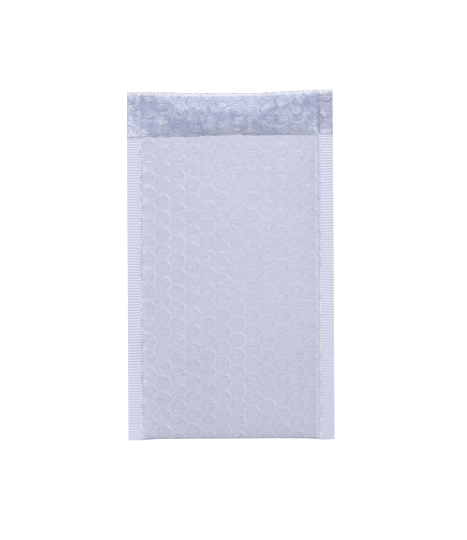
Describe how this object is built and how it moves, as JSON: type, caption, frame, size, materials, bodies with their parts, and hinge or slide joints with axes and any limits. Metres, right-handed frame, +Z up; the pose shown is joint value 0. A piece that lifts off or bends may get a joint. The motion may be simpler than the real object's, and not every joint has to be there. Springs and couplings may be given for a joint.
{
  "type": "padded envelope",
  "caption": "Film mailing envelope lined with bubble film, lying empty on its back with ribbed side seams and its flap open.",
  "frame": {"origin": "under the middle of the lying envelope, on the surface it rests on", "axes": "+Y along the envelope towards the open flap, +X across it, +Z up out of the front panel"},
  "size_m": [0.15, 0.255, 0.0114],
  "materials": {
    "outer_film": "pearly lavender-white film, soft sheen",
    "bubble_liner": "clear glossy bubble film over blue-grey film"
  },
  "bodies": {
    "root": {"outer_film": "outer_film", "bubble_liner": "bubble_liner"}
  },
  "joints": []
}
